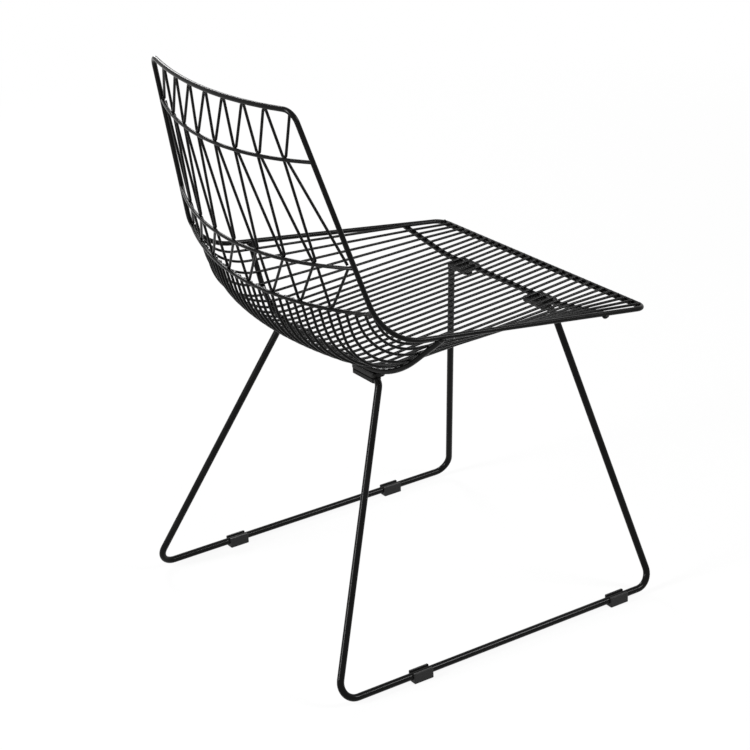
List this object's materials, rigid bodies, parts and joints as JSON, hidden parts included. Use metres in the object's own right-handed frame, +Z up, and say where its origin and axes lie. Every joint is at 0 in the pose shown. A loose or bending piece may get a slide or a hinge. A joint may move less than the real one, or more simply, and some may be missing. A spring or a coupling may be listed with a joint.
{
  "type": "wire mesh side chair",
  "caption": "Black wire mesh side chair: a bent edge rod, zigzag wires in the back, wires lengthwise in the seat and two sled leg frames with glides.",
  "frame": {"origin": "on the floor, midway between the sides and between the front and rear ends of the runners", "axes": "+Z up, -Y towards the front edge of the seat, +X to the right for someone who looks at the chair from its front"},
  "size_m": [0.5164, 0.5388, 0.803],
  "materials": {
    "coated_steel": "semi-gloss black powder coat",
    "screw_black": "satin black",
    "glide_plastic": "matt black moulded plastic"
  },
  "bodies": {
    "root": {"edge_rod": "coated_steel", "back_rail_upper": "coated_steel", "back_rail_middle": "coated_steel", "back_rail_lower": "coated_steel", "zigzag_upper": "coated_steel", "zigzag_middle": "coated_steel", "zigzag_lower": "coated_steel", "cross_rod_rear": "coated_steel", "cross_rod_front": "coated_steel", "seat_wire_01": "coated_steel", "seat_wire_02": "coated_steel", "seat_wire_03": "coated_steel", "seat_wire_04": "coated_steel", "seat_wire_05": "coated_steel", "seat_wire_06": "coated_steel", "seat_wire_07": "coated_steel", "seat_wire_08": "coated_steel", "seat_wire_09": "coated_steel", "seat_wire_10": "coated_steel", "seat_wire_11": "coated_steel", "seat_wire_12": "coated_steel", "seat_wire_13": "coated_steel", "seat_wire_14": "coated_steel", "seat_wire_15": "coated_steel", "seat_wire_16": "coated_steel", "seat_wire_17": "coated_steel", "seat_wire_18": "coated_steel", "seat_wire_19": "coated_steel", "seat_wire_20": "coated_steel", "seat_wire_21": "coated_steel", "seat_wire_22": "coated_steel", "seat_wire_23": "coated_steel", "seat_wire_24": "coated_steel", "seat_wire_25": "coated_steel", "seat_wire_26": "coated_steel", "seat_wire_27": "coated_steel", "seat_wire_28": "coated_steel", "seat_wire_29": "coated_steel", "seat_wire_30": "coated_steel", "seat_wire_31": "coated_steel", "front_edge_wire": "coated_steel", "leg_frame_right": "coated_steel", "leg_frame_left": "coated_steel", "mount_plate_rear_right": "coated_steel", "mount_plate_rear_left": "coated_steel", "mount_plate_front_right": "coated_steel", "mount_plate_front_left": "coated_steel", "clamp_screws": "screw_black", "glide_rear_left": "glide_plastic", "glide_front_left": "glide_plastic", "glide_rear_right": "glide_plastic", "glide_front_right": "glide_plastic"}
  },
  "joints": []
}
